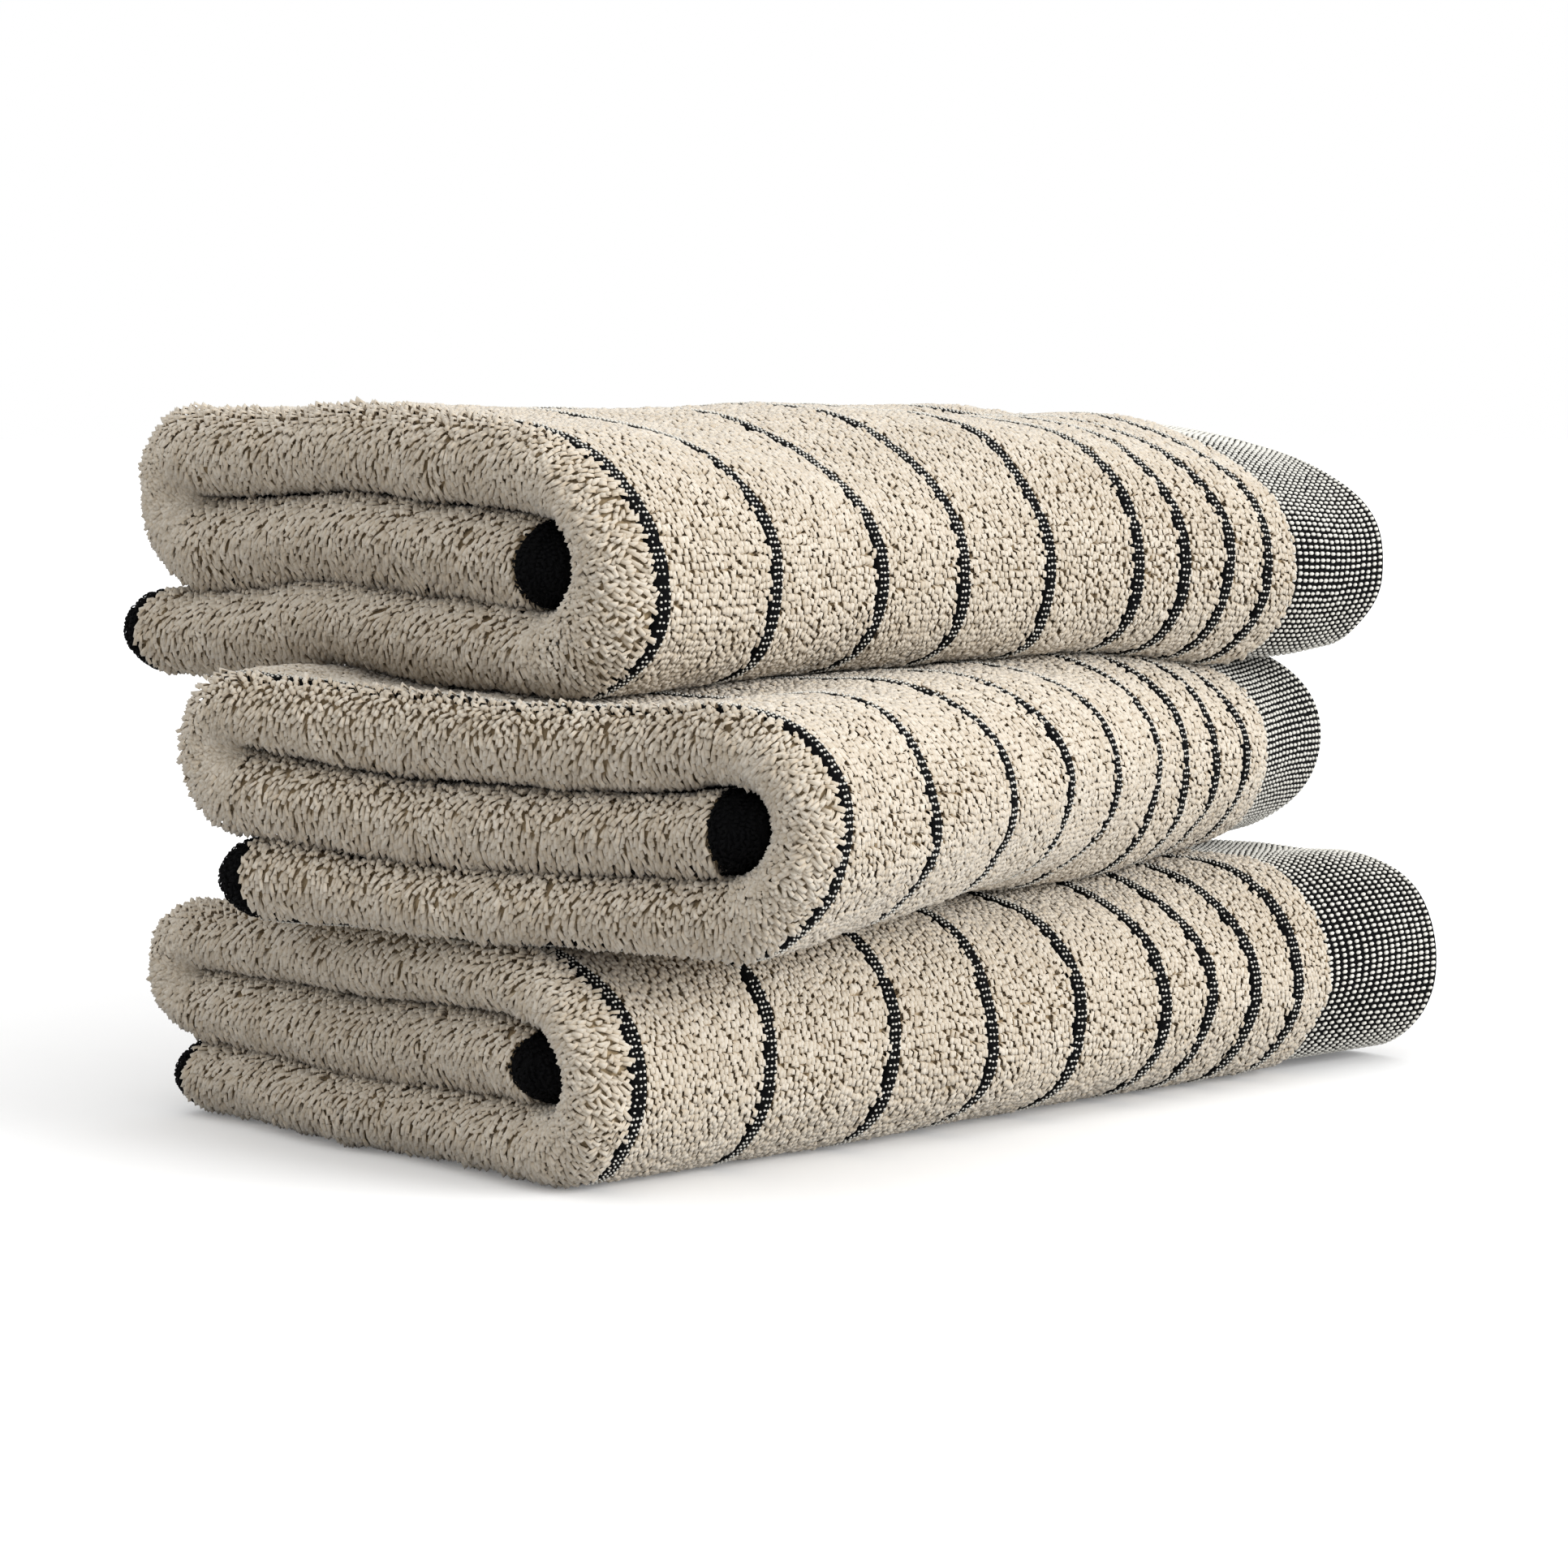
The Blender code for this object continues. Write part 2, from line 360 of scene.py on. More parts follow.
    def spots(self, along, across, lift):
        """Places with the outward direction and the directions along and across the cloth."""
        reach = 0.0004
        ahead = self.place(along + reach, across, lift) - self.place(along - reach, across, lift)
        aside = self.place(along, across + reach, lift) - self.place(along, across - reach, lift)
        out = np.cross(aside, ahead)
        found = self.place(along, across, lift)
        far = self.place(along, across, lift + reach)
        out *= np.sign(((far - found) * out).sum(-1))[..., None]
        return found, unit(out), unit(ahead), unit(aside)

    def stripe_places(self):
        return BORDER_WIDTH + FIRST_STRIPE - self.style.stripe_shift + np.cumsum((0,) + STRIPE_PITCHES)


def unit(vectors):
    return vectors / np.maximum(np.linalg.norm(vectors, axis=-1, keepdims=True), 1e-12)


# Meshes


def make_piece(name, towel, points, faces, finish, values=(), flat_map=None):
    """An object from arrays: points, faces of one corner count, values at the points, a flat map."""
    mesh = bpy.data.meshes.new(name)
    count, corners = faces.shape
    mesh.vertices.add(len(points))
    mesh.vertices.foreach_set("co", np.asarray(points, np.float32).ravel())
    mesh.loops.add(count * corners)
    mesh.loops.foreach_set("vertex_index", faces.astype(np.int32).ravel())
    mesh.polygons.add(count)
    mesh.polygons.foreach_set("loop_start", np.arange(0, count * corners, corners, dtype=np.int32))
    for label, numbers in values:
        layer = mesh.attributes.new(label, "FLOAT", "POINT")
        layer.data.foreach_set("value", np.asarray(numbers, np.float32).ravel())
    if flat_map is not None:
        layer = mesh.uv_layers.new(name="OFBake")
        layer.data.foreach_set("uv", np.asarray(flat_map[faces.ravel()], np.float32).ravel())
    mesh.materials.append(finish)
    mesh.update(calc_edges=True)
    mesh.shade_smooth()
    piece = bpy.data.objects.new(name, mesh)
    bpy.context.scene.collection.objects.link(piece)
    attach(piece, towel.style.name + "_towel")
    return piece


def grid_faces(rows, columns):
    first = (np.arange(rows - 1)[:, None] * columns + np.arange(columns - 1)).ravel()
    return np.stack((first, first + 1, first + columns + 1, first + columns), 1)


def closed_sheet(towel, along, across, half):
    """A sheet with two faces and closed edges, on a grid of flat places, and its flat map."""
    rows, columns = len(along), len(across)
    grid = np.meshgrid(along, across, indexing="ij")
    outer, inner = (towel.place(grid[0], grid[1], side * half).reshape(-1, 3) for side in (1, -1))
    count = rows * columns
    faces = grid_faces(rows, columns)
    edge = np.concatenate((
        np.arange(columns - 1),
        np.arange(1, rows) * columns - 1,
        np.arange(count - 1, count - columns, -1),
        np.arange(rows - 1, 0, -1) * columns,
    ))
    following = np.roll(edge, -1)
    wall = np.stack((following, edge, edge + count, following + count), 1)
    faces = np.concatenate((faces, faces[:, ::-1] + count, wall))
    way = [(g - g.min()) / (g.max() - g.min()) for g in grid]
    flat = np.stack((way[0].ravel() * 0.96, way[1].ravel() * 0.46), 1)
    return np.concatenate((outer, inner)), faces, np.concatenate((flat + 0.02, flat + (0.02, 0.52)))


def stations(spans):
    """Places in a row from spans of (from, to, step), each end kept once."""
    rows = []
    for start, stop, step in spans:
        rows.append(np.linspace(start, stop, max(2, round((stop - start) / step) + 1))[:-1])
    return np.concatenate(rows + [[spans[-1][1]]])


def round_beads(towel, along, across, lift, size, height, tone):
    """Small domes on the cloth: a ring of six, a smaller ring and a crown. size is along, across."""
    spot, out, ahead, aside = towel.spots(along, across, lift)
    turn = np.arange(6) * np.pi / 3
    ring = (ahead * size[0][:, None] / 2)[:, None] * np.cos(turn)[:, None]
    ring += (aside * size[1][:, None] / 2)[:, None] * np.sin(turn)[:, None]
    high = height[:, None, None]
    low_ring = spot[:, None] + ring
    high_ring = spot[:, None] + ring * 0.75 + out[:, None] * high * 0.75
    crown = (spot + out * height[:, None])[:, None]
    points = np.concatenate((low_ring, high_ring, crown), 1)
    side = np.arange(6)
    after = (side + 1) % 6
    faces = np.concatenate((
        np.stack((side, after, after + 6), 1),
        np.stack((side, after + 6, side + 6), 1),
        np.stack((side + 6, after + 6, np.full(6, 12)), 1),
    ))
    count = len(along)
    faces = (faces[None] + np.arange(count)[:, None, None] * 13).reshape(-1, 3)
    cell = cells(count)
    flat = np.concatenate((
        0.46 * np.stack((np.cos(turn), np.sin(turn)), 1),
        0.30 * np.stack((np.cos(turn), np.sin(turn)), 1),
        [[0, 0]],
    ))
    flat = (cell[0][:, None] + 0.5 * cell[1] + flat[None] * cell[1]).reshape(-1, 2)
    rise = np.tile(np.concatenate((np.zeros(6), np.full(6, 0.8), [1])), count)
    return points.reshape(-1, 3), faces, (("rise", rise), ("tone", np.repeat(tone, 13))), flat


def cells(count):
    """The lower corners of equal square cells over the unit square, one for each item, and their side."""
    side = math.ceil(math.sqrt(max(count, 1)))
    index = np.arange(count)
    return np.stack((index % side, index // side), 1) / side, 1 / side


# The pile

class Strand:
    """The form of a loop, which runs through four places along STRAND.

    rises and widths are its height and width there, and depth is how far its sides drop, over its
    width. unevenness is how much the loops' heights differ, and combing how far they turn together.
    """

    def __init__(self, rises, widths, depth, unevenness, combing):
        self.rises = np.array(rises)
        self.widths = np.array(widths)
        self.depth = depth
        self.unevenness = unevenness
        self.combing = combing


# An upright loop comes back down to the cloth, a hanging one lies with its end free.
STRAND = np.array((-1.0, -0.55, 0.55, 1.0))
UPRIGHT = Strand((0.0, 0.93, 0.93, 0.0), (0.55, 1.0, 1.0, 0.55), 0.36, 0.08, 0.4)
HANGING = Strand((0.0, 0.70, 1.0, 0.66), (0.50, 0.85, 1.05, 0.60), 0.55, 0.14, 1.0)


class Pile:
    """The loops of one stretch of a towel."""

    def __init__(self, towel, pitch, length, height, width, turn_spread, droop, seed, root=None,
                 form=UPRIGHT):
        self.towel = towel
        self.root = towel.ground_half - 0.0004 if root is None else root
        self.pitch = pitch
        self.form = form
        self.length = length
        self.height = height
        self.width = width
        self.turn_spread = turn_spread
        self.droop = droop
        self.draw = np.random.default_rng(towel.style.seed * 100 + seed)

    def grid(self, spans):
        """Loops in rows over spans of (along from, to, across from, to)."""
        found = []
        for a_from, a_to, c_from, c_to in spans:
            along = np.arange(a_from, a_to, self.pitch[0])
            across = np.arange(c_from, c_to, self.pitch[1])
            grid = np.meshgrid(along, across, indexing="ij")
            stagger = (np.arange(len(across)) % 2) * self.pitch[0] / 2
            found.append(np.stack(((grid[0] + stagger).ravel(), grid[1].ravel()), 1))
        spots = np.concatenate(found)
        return spots + self.draw.normal(size=spots.shape) * (0.00026, 0.00055)

    def places(self, spans):
        """The same, off the stripes, the borders and the tapes."""
        spots = self.grid(spans)
        return spots[self.off_stripes(spots)]

    def off_stripes(self, spots):
        wobble = 0.0005 * np.sin(spots[:, 1] * 410 + spots[:, 0] * 97) + 0.0004 * np.sin(spots[:, 1] * 1130)
        clear = spots[:, 0] > BORDER_WIDTH + 0.0003
        clear &= spots[:, 0] < self.towel.tucked_border_from - 0.001
        for place in self.towel.stripe_places():
            clear &= np.abs(spots[:, 0] - place) > STRIPE_WIDTH / 2 + 0.0004 + wobble
        clear &= spots[:, 1] > OUTER_TAPE + 0.0008
        ragged = 0.0016 * np.sin(spots[:, 0] * 870) + 0.0009 * self.draw.normal(size=len(spots))
        clear &= spots[:, 1] < self.towel.cloth_width - INNER_TAPE - 0.0004 + ragged
        return clear

    def grow(self, name, spots, finish, slot="terry"):
        towel, draw, form = self.towel, self.draw, self.form
        rises, widths = form.rises, form.widths
        count = len(spots)
        spot, out, ahead, aside = towel.spots(spots[:, 0], spots[:, 1], np.full(count, self.root))
        turn = draw.normal(size=count) * self.turn_spread
        combed = COMBED.at(spot)
        turn += combed[:, 0] * form.combing
        cos, sin = np.cos(turn)[:, None], np.sin(turn)[:, None]
        if form is HANGING:
            strand = ahead * cos + aside * sin
            strand *= np.where(strand[:, 2:3] > 0, -1, 1)
            side = np.cross(out, strand)
        else:
            strand, side = aside * cos + ahead * sin, ahead * cos - aside * sin
        patches = TUFTED.at(spot)
        uneven = draw.normal(size=count) + patches[:, 0]
        height = self.height * (1 + form.unevenness * uneven).clip(0.55, 1.6)
        if form is HANGING:
            crest = 1 - smooth_step(spots[:, 0], towel.nose_from, towel.nose_from + 0.012)
            height += CREST_SWELL * crest * smooth_step(spots[:, 1], towel.front_to - 0.04, towel.front_to)
        length = self.length * (1 + 0.12 * draw.normal(size=count)).clip(0.6, 1.5)
        width = self.width * (1 + 0.10 * draw.normal(size=count)).clip(0.7, 1.4)
        down = np.array((0, 0, -1.0)) - out * -out[:, 2:3]
        hang = self.droop * (1 + 0.5 * draw.random(count))[:, None] * down
        tilt = ahead * (combed[:, 1:2] + 0.4 * draw.normal(size=(count, 1))) * 0.0005
        tilt += aside * (combed[:, 2:3] + 0.4 * draw.normal(size=(count, 1))) * 0.0005
        rise = rises[None, :, None] * height[:, None, None]
        centre = (
            spot[:, None]
            + strand[:, None] * (STRAND[None, :, None] * length[:, None, None] / 2)
            + out[:, None] * rise
            + (hang + tilt)[:, None] * (rises**2)[None, :, None]
        )
        half = side[:, None] * (widths[None, :, None] * width[:, None, None] / 2)
        sunk = out[:, None] * (widths[None, :, None] * width[:, None, None] * form.depth)
        points = np.stack((centre - half - sunk, centre, centre + half - sunk), 2).reshape(-1, 3)
        rows = len(STRAND)
        one = grid_faces(rows, 3)
        faces = (one[None] + np.arange(count)[:, None, None] * rows * 3).reshape(-1, 4)
        corner, side_length = cells(count)
        inside = np.stack(np.meshgrid((STRAND + 1) / 2, (0.0, 0.5, 1.0), indexing="ij"), -1).reshape(-1, 2)
        flat = (corner[:, None] + (0.08 + 0.84 * inside[None]) * side_length).reshape(-1, 2)
        # painted shade mask: rise is 0 at a loop's feet and 0.55 of its height on its sides, where the loop
        # material darkens
        crown = np.tile(np.repeat(rises, 3) * np.tile((0.55, 1, 0.55), rows), count)
        tone = (0.5 + 0.22 * draw.normal(size=count) + 0.12 * patches[:, 1]).clip(0, 1)
        values = (("rise", crown), ("tone", np.repeat(tone, rows * 3)))
        piece = make_piece(name, towel, points, faces, finish, values, flat)
        return piece


COMBED = Waves(7, 16, 0.012, 0.04, 0.30)
TUFTED = Waves(8, 18, 0.008, 0.03, 1.0)


# Materials


class Value:
    """A shader socket that takes Python's arithmetic. Each operation adds a Math node."""

    def __init__(self, finish, socket):
        self.finish = finish
        self.socket = socket

    def calculate(self, operation, first, second):
        return self.finish.node("ShaderNodeMath", {"operation": operation}, {0: first, 1: second})

    def __add__(self, other):
        return self.calculate("ADD", self, other)

    def __radd__(self, other):
        return self.calculate("ADD", other, self)

    def __sub__(self, other):
        return self.calculate("SUBTRACT", self, other)

    def __rsub__(self, other):
        return self.calculate("SUBTRACT", other, self)

    def __mul__(self, other):
        return self.calculate("MULTIPLY", self, other)

    def __rmul__(self, other):
        return self.calculate("MULTIPLY", other, self)


class Finish:
    """A material under way."""

    def __init__(self, name, constants):
        self.material = bpy.data.materials.new(name)
        self.material.use_nodes = True
        self.tree = self.material.node_tree
        self.shader = self.tree.nodes["Principled BSDF"]
        for label, number in constants.items():
            self.shader.inputs[label].default_value = number

    def node(self, kind, settings, sockets, output=0):
        made = self.tree.nodes.new(kind)
        for label, setting in settings.items():
            setattr(made, label, setting)
        for label, value in sockets.items():
            self.join(made.inputs[label], value)
        return Value(self, made.outputs[output])

    def join(self, socket, value):
        if isinstance(value, Value):
            self.tree.links.new(value.socket, socket)
        else:
            socket.default_value = value

    def show(self, label, value):
        self.join(self.shader.inputs[label], value)

    def attribute(self, name):
        return self.node("ShaderNodeAttribute", {"attribute_name": name}, {}, "Fac")

    def position(self):
        return self.node("ShaderNodeTexCoord", {}, {}, "Object")

    def noise(self, scale, detail=2.0, place=None):
        return self.node(
            "ShaderNodeTexNoise", {}, {"Vector": place or self.position(), "Scale": scale, "Detail": detail}
        )

    def blend(self, way, first, second):
        return self.node(
            "ShaderNodeMix", {"data_type": "RGBA"}, {"Factor": way, "A": first, "B": second}, "Result"
        )

    def bump(self, height, distance, strength=1.0):
        self.show("Normal", self.node(
            "ShaderNodeBump", {}, {"Height": height, "Distance": distance, "Strength": strength}
        ))


def colour(red, green, blue):
    return (red, green, blue, 1.0)


CREAM = colour(0.67, 0.615, 0.53)
OAT = colour(0.52, 0.455, 0.365)
# painted shade: this straw darkens the loops towards their feet and sides, and is the lighter tone of the
# ground between them
PAINTED_SHADE_STRAW = colour(0.41, 0.31, 0.19)
# painted shade: this brown is the dark tone of the ground between the loops, partly its yarn colour and
# partly painted shade
PAINTED_SHADE_BROWN = colour(0.22, 0.16, 0.09)
IVORY = colour(0.68, 0.665, 0.61)
INK = colour(0.0016, 0.0016, 0.0018)
CHARCOAL = colour(0.006, 0.006, 0.0065)


def terry_loops():
    """Oatmeal cotton loops: pale crowns, each loop of its own tone, with painted shade that darkens each loop
    to straw towards its feet and sides.
    """
    finish = Finish("oatmeal_loops", {"Roughness": 0.92, "Sheen Weight": 0.25, "Sheen Roughness": 0.5,
                                      "Specular IOR Level": 0.2})
    tone, rise = finish.attribute("tone"), finish.attribute("rise")
    fibres = finish.noise(900.0, 3.0)
    crown = finish.blend(tone + (fibres - 0.5) * 0.5, OAT, CREAM)
    # painted shade: where rise is low, at the feet and sides of each loop, the colour goes to the darker
    # straw
    finish.show("Base Color", finish.blend(rise * 1.15, PAINTED_SHADE_STRAW, crown))
    finish.show("Roughness", 0.85 + fibres * 0.12)
    finish.bump(finish.noise(2600.0, 2.0), 0.0002, 0.6)
    return finish.material


def terry_ground():
    """The woven ground between the loops, a darker brown that is partly the ground yarn's colour and partly
    painted shade between the loops.
    """
    finish = Finish("terry_ground", {"Roughness": 0.95, "Specular IOR Level": 0.1})
    weave = finish.noise(700.0, 3.0)
    # partly the ground yarn's colour, partly painted shade in the gaps between the loops
    finish.show("Base Color", finish.blend(weave, PAINTED_SHADE_BROWN, PAINTED_SHADE_STRAW))
    finish.bump(weave, 0.0005)
    return finish.material


def black_yarn(name, fuzz):
    """Matt black cotton with a little grey fuzz."""
    finish = Finish(name, {"Roughness": 0.9, "Specular IOR Level": 0.04})
    lint = finish.noise(1100.0, 4.0)
    finish.show("Base Color", finish.blend(lint * fuzz, INK, CHARCOAL))
    finish.show("Roughness", 0.8 + lint * 0.18)
    finish.bump(lint, 0.0004)
    return finish.material


def cream_beads():
    """The raised cream floats of the dobby border and the stripes."""
    finish = Finish("cream_floats", {"Roughness": 0.85, "Specular IOR Level": 0.25, "Sheen Weight": 0.1})
    tone, rise = finish.attribute("tone"), finish.attribute("rise")
    fibres = finish.noise(1500.0, 2.0)
    finish.show("Base Color", finish.blend(rise * 1.3 + tone * 0.2, CHARCOAL, IVORY))
    finish.bump(fibres, 0.0003)
    return finish.material


def plain_paper(name, shade, glow=0.0):
    finish = Finish(name, {"Roughness": 0.9, "Specular IOR Level": 0.1,
                           "Emission Color": colour(1, 1, 1), "Emission Strength": glow})
    grain = finish.noise(60.0, 2.0)
    light, dark = colour(shade, shade, shade), colour(shade - 0.02, shade - 0.02, shade - 0.02)
    finish.show("Base Color", finish.blend(grain, dark, light))
    return finish.material


LOOPS = terry_loops()
GROUND = terry_ground()
STRIPE_YARN = black_yarn("black_stripe_yarn", 0.8)
BORDER_YARN = black_yarn("black_border_yarn", 0.7)
TAPE_YARN = black_yarn("black_tape", 0.9)
THREAD_YARN = black_yarn("black_thread", 1.0)
FLOATS = cream_beads()
NAP = black_yarn("black_nap", 1.0)


# The pieces of one towel


def cloth_stations(towel):
    """Where the ground cloth's grid runs along and across, finer round the folds."""
    start, stop = BORDER_WIDTH + WEAVE_GAP, towel.tucked_border_from - WEAVE_GAP
    along = stations((
        (start, towel.nose_from, 0.007),
        (towel.nose_from, towel.nose_to, 0.0022),
        (towel.nose_to, towel.end_fold_from, 0.010),
        (towel.end_fold_from, towel.end_fold_to, 0.0022),
        (towel.end_fold_to, stop, 0.012),
    ))
    across = stations(((OUTER_TAPE, towel.front_from, 0.008),) + folds_across(towel))
    return along, across


def folds_across(towel):
    return (
        (towel.front_from, towel.front_to, 0.003),
        (towel.front_to, towel.back_from, 0.008),
        (towel.back_from, towel.back_to, 0.003),
        (towel.back_to, towel.cloth_width - INNER_TAPE, 0.008),
    )


def ground_cloth(towel):
    along, across = cloth_stations(towel)
    points, faces, flat = closed_sheet(towel, along, across, towel.ground_half)
    piece = make_piece(towel.style.name + "_ground_cloth", towel, points, faces, GROUND, (), flat)
    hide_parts(towel.style.name + "_terry_cloth")
    return piece


def border_ground(towel, label, start, stop, node):
    _, across = cloth_stations(towel)
    points, faces, flat = closed_sheet(towel, stations(((start, stop, 0.006),)), across, BORDER_HALF)
    piece = make_piece(f"{towel.style.name}_{label}", towel, points, faces, BORDER_YARN, (), flat)
    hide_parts(f"{towel.style.name}_{node}")
    return piece


def border_floats(towel):
    """Rows of round cream floats over the black ground of the outside border."""
    draw = np.random.default_rng(towel.style.seed + 7)
    along = np.arange(0.0024, BORDER_WIDTH, FLOAT_PITCH[0])
    across = np.arange(OUTER_TAPE + 0.002, towel.cloth_width - INNER_TAPE, FLOAT_PITCH[1])
    across = across[across < towel.back_to + PATTERN_REACH]
    grid = [g.ravel() for g in np.meshgrid(along, across, indexing="ij")]
    count = len(grid[0])
    size = [side * (1 + 0.06 * draw.normal(size=count)).clip(0.8, 1.15) for side in FLOAT_SIZE]
    jitter = draw.normal(size=(2, count)) * 0.00012
    shade = (0.65 + 0.25 * draw.normal(size=count)).clip(0, 1)
    points, faces, values, flat = round_beads(
        towel, grid[0] + jitter[0], grid[1] + jitter[1], np.full(count, BORDER_HALF - 0.0001),
        size, np.full(count, 0.0009), shade,
    )
    piece = make_piece(towel.style.name + "_border_floats", towel, points, faces, FLOATS, values, flat)
    return piece


def stripes(towel):
    """Narrow flat-woven stripes, a little under the face of the pile, with small cream dots."""
    draw = np.random.default_rng(towel.style.seed + 3)
    across = np.arange(OUTER_TAPE, towel.cloth_width - INNER_TAPE, DOT_PITCH)
    across = across[across < towel.back_to + PATTERN_REACH]
    profile = ((-0.5, 0.0), (-0.42, STRIPE_TOP), (0.0, STRIPE_TOP + 0.0003), (0.42, STRIPE_TOP), (0.5, 0.0))
    points, faces, dots = [], [], []
    for number, middle in enumerate(towel.stripe_places()):
        rows = [
            towel.place(middle + way * (STRIPE_WIDTH + 0.0016) + 0 * across, across,
                        towel.ground_half - 0.0002 + rise)
            for way, rise in profile
        ]
        points.append(np.stack(rows, 1).reshape(-1, 3))
        faces.append(grid_faces(len(across), len(profile)) + number * len(across) * len(profile))
        for lane in STRIPE_LANES:
            kept = across[draw.random(len(across)) < 0.93]
            dots.append(np.stack((np.full(len(kept), middle + lane * STRIPE_WIDTH), kept), 1))
    points, faces = np.concatenate(points), np.concatenate(faces)
    band = make_piece(towel.style.name + "_stripes", towel, points, faces, STRIPE_YARN)
    dots = np.concatenate(dots)
    count = len(dots)
    dots = dots + draw.normal(size=dots.shape) * 0.00015
    size = [side * (1 + 0.15 * draw.normal(size=count)).clip(0.6, 1.4) for side in DOT_SIZE]
    points, faces, values, flat = round_beads(
        towel, dots[:, 0], dots[:, 1], np.full(count, towel.ground_half + STRIPE_TOP + 0.0001),
        size, np.full(count, 0.0006), (0.6 + 0.3 * draw.normal(size=count)).clip(0, 1),
    )
    marks = make_piece(towel.style.name + "_stripe_dots", towel, points, faces, FLOATS, values, flat)
    return [band, marks]


def binding(towel, label, start, stop, node):
    along = stations((
        (0.0, towel.nose_from, 0.006),
        (towel.nose_from, towel.nose_to, 0.0018),
        (towel.nose_to, towel.end_fold_from, 0.008),
        (towel.end_fold_from, towel.end_fold_to, 0.0018),
        (towel.end_fold_to, towel.cloth_length, 0.012),
    ))
    across = np.linspace(start, stop, 13)
    points, faces, flat = closed_sheet(towel, along, across, towel.half_layer - TAPE_RECESS)
    piece = make_piece(f"{towel.style.name}_{label}", towel, points, faces, TAPE_YARN, (), flat)
    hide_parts(f"{towel.style.name}_{node}")
    return piece


def seam(towel, label, at, node):
    """A row of stitches along a binding: short raised threads with a dip between them."""
    along = np.arange(0.002, towel.end_fold_from, 0.0010)
    high = 0.0004 * np.abs(np.sin(along / 0.0028 * np.pi)) + 0.0001
    ring = ((-1, 0.0), (-0.6, 0.8), (0.6, 0.8), (1, 0.0))
    rows = [
        towel.place(along, np.full(len(along), at + side * SEAM_RADIUS),
                    towel.half_layer - TAPE_RECESS - 0.0002 + (high + 0.0003) * rise)
        for side, rise in ring
    ]
    points = np.stack(rows, 1).reshape(-1, 3)
    first = np.arange(len(along) - 1) * len(ring)
    last = first + len(ring) - 1
    underside = np.stack((last, first, first + len(ring), last + len(ring)), 1)
    faces = np.concatenate((grid_faces(len(along), len(ring)), underside))
    piece = make_piece(f"{towel.style.name}_{label}", towel, points, faces, THREAD_YARN)
    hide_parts(f"{towel.style.name}_{node}")
    return piece


def pile(towel):
    name = towel.style.name
    start, tucked = BORDER_WIDTH, towel.tucked_border_from
    edge = (OUTER_TAPE, towel.cloth_width - INNER_TAPE)
    nose = towel.nose_from - FOLD_MARGIN, towel.nose_to + FOLD_MARGIN
    near = SEEN_IN_CREVICE
    body = dict(length=0.0037, height=PILE + 0.0003, width=0.0020)
    smooth = Pile(towel, LOOP_PITCH, turn_spread=0.13, droop=0.0006, seed=1, **body)
    made = []

    def add(label, grower, spans):
        made.append(grower.grow(f"{name}_{label}_loops", grower.places(spans), LOOPS))

    fuzz = Pile(towel, NAP_PITCH, 0.0026, 0.0012, 0.0012, 0.6, 0.0012, 5, towel.half_layer - TAPE_RECESS)
    for label, start_across, stop_across in (
        ("outer", 0.0006, OUTER_TAPE - 0.001),
        ("inner", towel.cloth_width - INNER_TAPE + 0.001, towel.cloth_width - 0.0006),
    ):
        spots = fuzz.grid([(nose[0] - 0.02, nose[1] + 0.01, start_across, stop_across)])
        made.append(fuzz.grow(f"{name}_{label}_tape_nap", spots, NAP, "tape"))

    add("front", smooth, [(start, nose[0], towel.front_from - FOLD_OVERLAP, towel.front_to)])
    add("crown", smooth, [(start, nose[0], towel.front_to, towel.back_from)])
    add("back", smooth, [(start, nose[0], towel.back_from, towel.back_to + FOLD_OVERLAP)])
    shaggy = Pile(towel, HANGING_PITCH, 0.0044, PILE + 0.0006, 0.0019, 0.34, 0.0012, 2, form=HANGING)
    add("nose", shaggy, [(nose[0], nose[1], *edge)])
    crevice = Pile(towel, LOOP_PITCH, turn_spread=0.4, droop=0.0012, seed=3, **body)
    add("crevice", crevice, [
        (nose[0] - near, nose[0], towel.back_to + FOLD_OVERLAP, edge[1]),
        (nose[1], nose[1] + near, *edge),
        (nose[1] + near, towel.end_fold_from - near, edge[0], STANDS_OUT),
    ])
    add("end", crevice, [
        (start, start + near, towel.back_to + FOLD_OVERLAP, edge[1]),
        (towel.end_fold_from - near, towel.end_fold_to + FOLD_MARGIN, *edge),
    ])
    pressed = Pile(towel, PRESSED_PITCH, 0.0054, PILE, 0.0028, 0.3, 0.0, 4)
    add("underside", pressed, [(start, nose[0], edge[0], towel.front_from - FOLD_OVERLAP)])
    return made


def towel_pieces(towel):
    """All the pieces of a towel. Its own sheet is given back."""
    width = towel.cloth_width
    cloth = ground_cloth(towel)
    with_it = pile(towel)
    with_it += stripes(towel)
    with_it.append(border_ground(towel, "border", 0.0, BORDER_WIDTH - WEAVE_GAP, "end_border"))
    with_it.append(border_floats(towel))
    with_it.append(border_ground(
        towel, "inside_border", towel.tucked_border_from + WEAVE_GAP, towel.cloth_length, "tucked_border"
    ))
    with_it.append(binding(towel, "outer_tape", 0.0, OUTER_TAPE - WEAVE_GAP, "outer_binding"))
    with_it.append(binding(towel, "inner_tape", width - INNER_TAPE + WEAVE_GAP, width, "inner_binding"))
    with_it.append(seam(towel, "outer_stitches", OUTER_TAPE - SEAM_INSET, "outer_seam"))
    with_it.append(seam(towel, "inner_stitches", width - INNER_TAPE + SEAM_INSET, "inner_seam"))
    return cloth


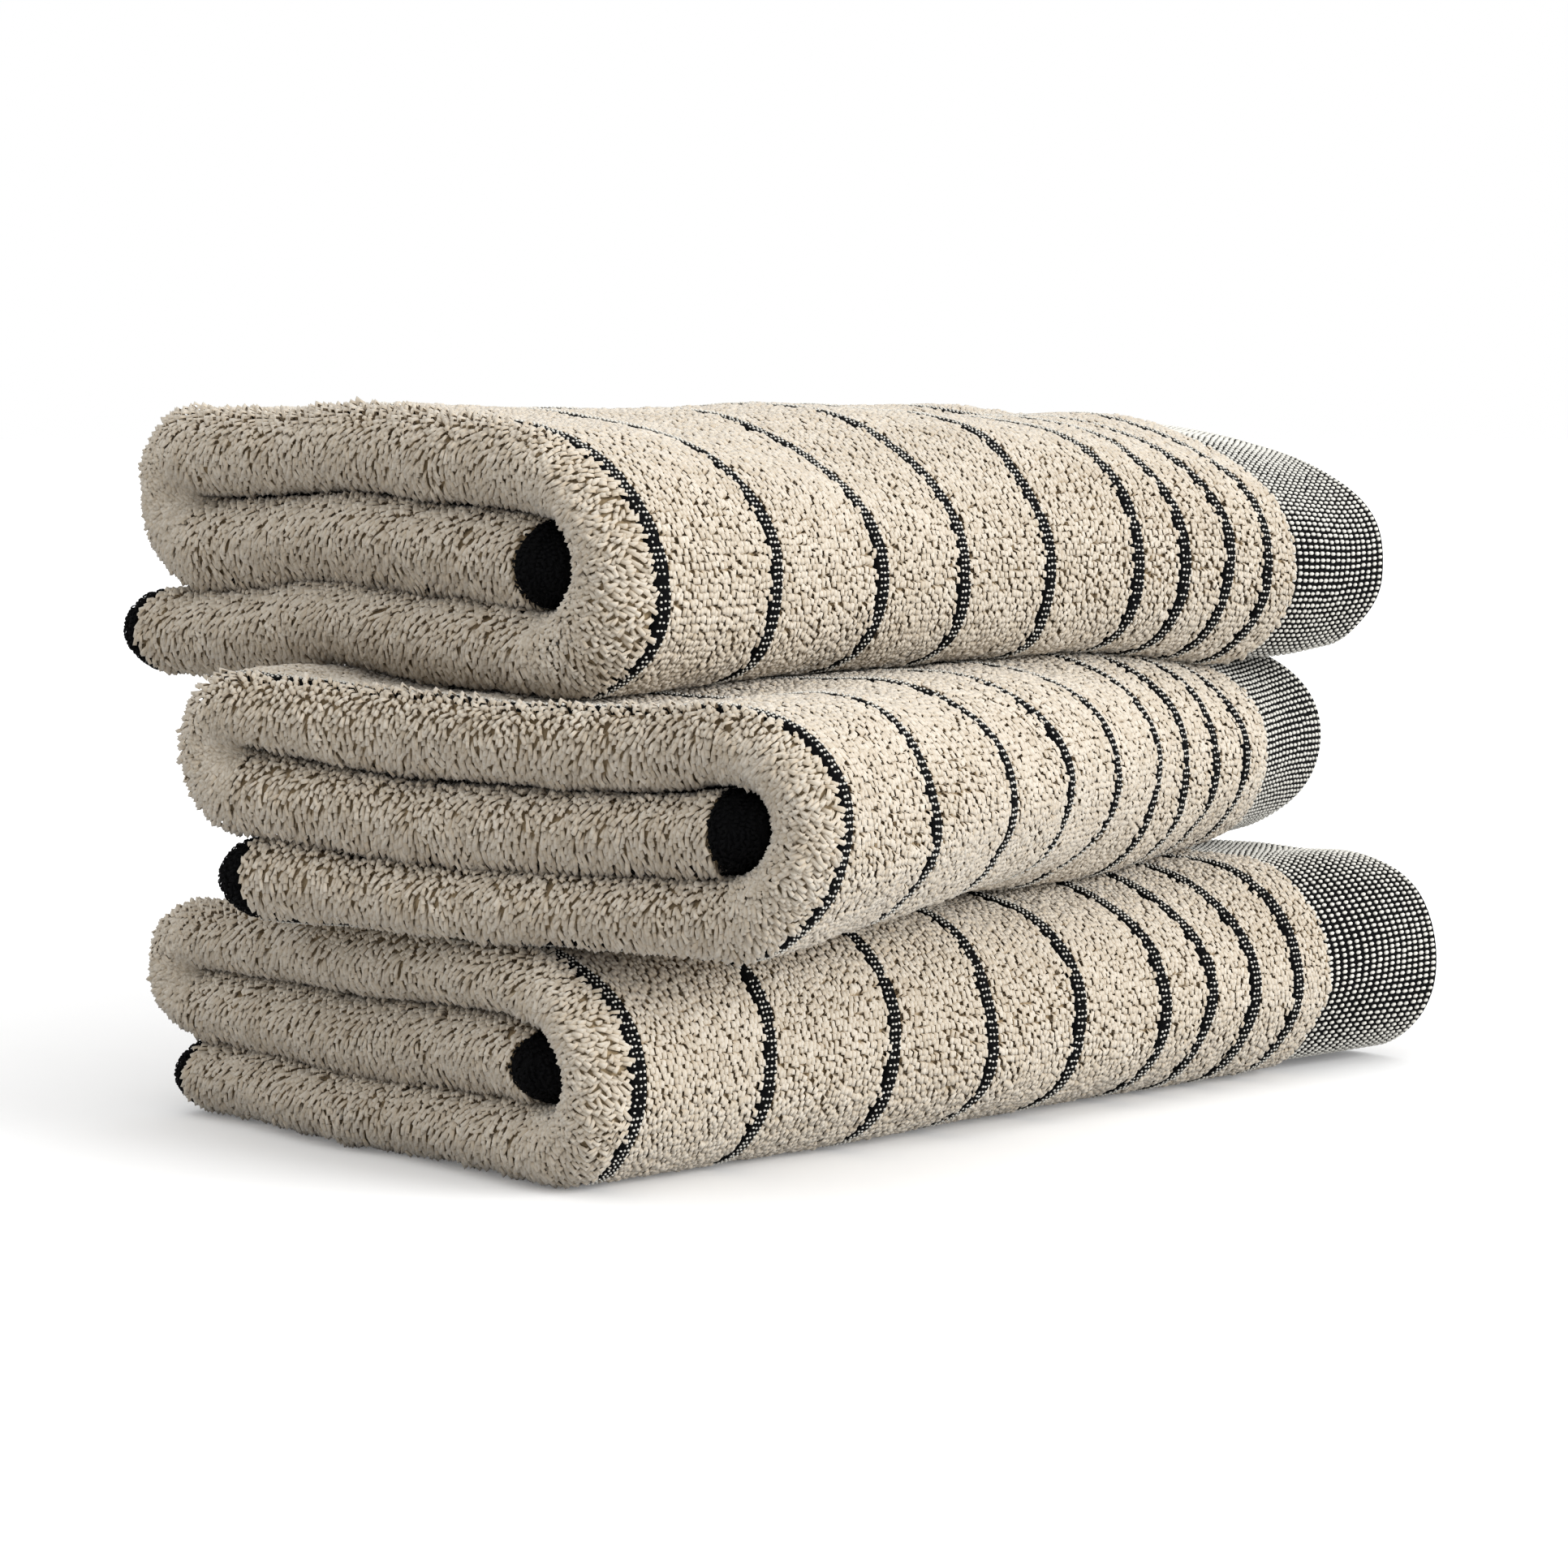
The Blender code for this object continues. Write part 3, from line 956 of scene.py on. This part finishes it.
FLOOR_REACH = 200.0


def flat_floor(name, height, finish):
    mesh = bpy.data.meshes.new(name)
    corners = [(x * FLOOR_REACH, y * FLOOR_REACH, 0) for x, y in ((-1, -1), (1, -1), (1, 1), (-1, 1))]
    mesh.from_pydata(corners, [], [(0, 1, 2, 3)])
    mesh.materials.append(finish)
    floor = bpy.data.objects.new(name, mesh)
    floor.location.z = height
    bpy.context.scene.collection.objects.link(floor)
    return floor


def studio():
    """White paper to look at, and a darker floor just under it that the towels are lit from."""
    paper = flat_floor("floor", -0.0008, plain_paper("white_paper", 0.90, glow=0.12))
    paper.visible_diffuse = False
    paper.visible_shadow = False
    bounce = flat_floor("bounce_floor", -0.0010, plain_paper("grey_paper", 0.55))
    bounce.visible_camera = False
    sky = bpy.data.worlds.new("studio")
    sky.use_nodes = True
    light = sky.node_tree.nodes["Background"]
    light.inputs["Color"].default_value = colour(1, 1, 1)
    light.inputs["Strength"].default_value = 1.0
    bpy.context.scene.world = sky

    def sun(name, bearing, height, strength, softness):
        lamp = bpy.data.lights.new(name, "SUN")
        lamp.energy = strength
        lamp.angle = math.radians(softness)
        made = bpy.data.objects.new(name, lamp)
        made.rotation_euler = (math.radians(90 - height), 0, math.radians(bearing))
        bpy.context.scene.collection.objects.link(made)

    sun("key", 22, 20, 2.6, 35)
    sun("top_light", 0, 80, 0.25, 60)
    camera = bpy.data.cameras.new("camera")
    camera.lens = 92.3
    camera.sensor_width = 36
    camera.clip_start, camera.clip_end = 0.1, 50
    made = bpy.data.objects.new("camera", camera)
    made.location = (STACK_PLACE[0] - 1.127, STACK_PLACE[1] - 1.184, 0.272)
    made.rotation_euler = (math.radians(90 - 5.2), 0, math.radians(-43.04))
    bpy.context.scene.collection.objects.link(made)
    bpy.context.scene.camera = made
    bpy.context.scene.view_settings.view_transform = "Standard"


def main():
    floor = 0.0
    below = []
    for style in STYLES:
        towel = FoldedTowel(style, floor)
        below = [towel_pieces(towel)]
        floor += towel.height + STACK_GAP
    studio()


main()
